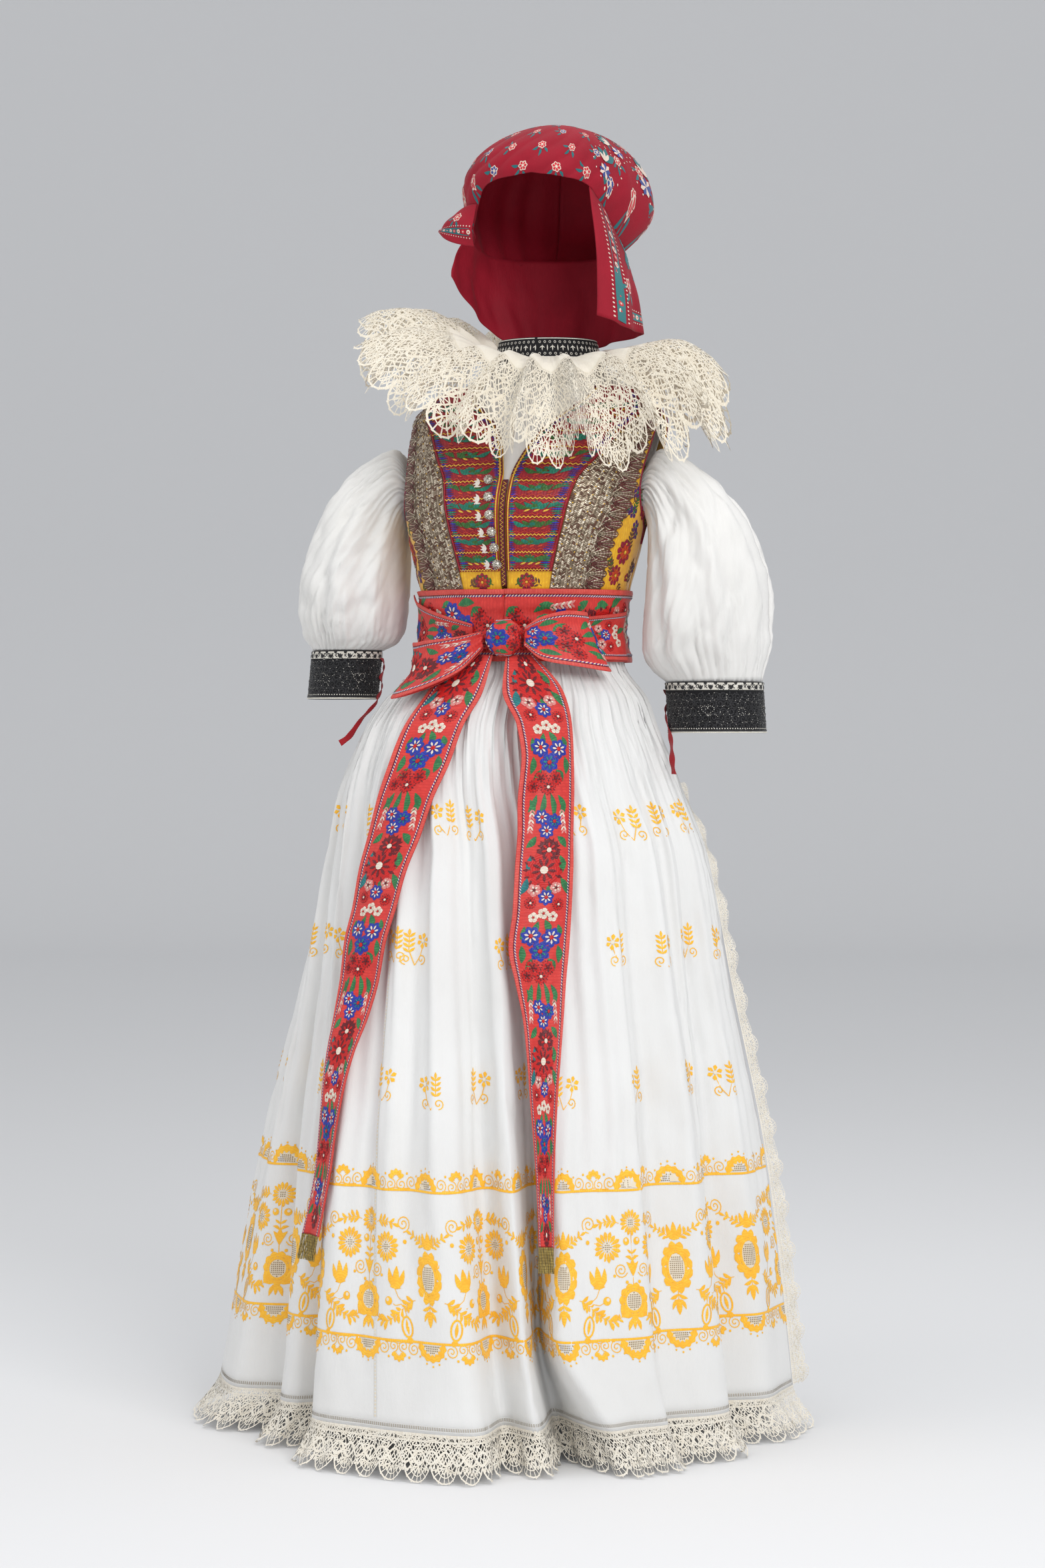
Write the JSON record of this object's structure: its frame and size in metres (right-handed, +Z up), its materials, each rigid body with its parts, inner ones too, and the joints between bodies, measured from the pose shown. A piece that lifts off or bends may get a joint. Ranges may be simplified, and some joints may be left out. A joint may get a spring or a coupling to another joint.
{
  "type": "folk costume",
  "caption": "Festive Moravian folk costume worn as one: headscarf, lace ruff, puffed sleeves, brocade waistcoat, ribbon sash with bow, embroidered white apron and skirt",
  "frame": {"origin": "the middle of the wearer's waist, 0.985 m above the floor that the hem reaches", "axes": "+Z up, -Y the way the wearer faces, +X to the wearer's left"},
  "size_m": [0.7787, 0.7727, 1.6083],
  "materials": {
    "linen": "matt linen and cotton",
    "lace": "cream bobbin lace",
    "brocade": "yellow silk brocade, soft sheen",
    "ribbon": "woven jacquard ribbon, soft sheen",
    "gold_braid": "bronze-gold tinsel lace",
    "chest_ribbon": "embroidered ribbon, satin",
    "black_embroidery": "dense black embroidery, matt",
    "scarf_red": "printed crimson cotton",
    "silver": "silvered filigree",
    "gold_thread": "metallic thread",
    "tie_red": "red cotton tape"
  },
  "bodies": {
    "root": {"apron": "linen", "apron_hem_lace_left": "lace", "apron_hem_lace_right": "lace", "apron_side_lace_left": "lace", "apron_side_lace_right": "lace", "blouse_back": "linen", "blouse_front": "linen", "bow_loop_left": "ribbon", "bow_loop_right": "ribbon", "button_1": "silver", "button_2": "silver", "button_3": "silver", "button_4": "silver", "button_5": "silver", "button_6": "silver", "chest_ribbon_left": "chest_ribbon", "chest_ribbon_right": "chest_ribbon", "cuff_left": "black_embroidery", "cuff_right": "black_embroidery", "gold_braid_left": "gold_braid", "gold_braid_right": "gold_braid", "neck_band": "black_embroidery", "placket": "chest_ribbon", "ruff_back": "lace", "ruff_front": "lace", "sash_fringe_left": "gold_thread", "sash_fringe_right": "gold_thread", "sash_knot": "ribbon", "sash_over_left": "ribbon", "sash_over_right": "ribbon", "sash_round_waist": "ribbon", "sash_tail_left": "ribbon", "sash_tail_right": "ribbon", "scarf_crown": "scarf_red", "scarf_curtain": "scarf_red", "scarf_flare": "scarf_red", "skirt_back": "linen", "skirt_hem_lace_left": "lace", "skirt_hem_lace_right": "lace", "sleeve_left": "linen", "sleeve_right": "linen", "tie_left": "tie_red", "tie_right": "tie_red", "vest_back": "brocade", "vest_front_left": "brocade", "vest_front_right": "brocade"}
  },
  "joints": []
}
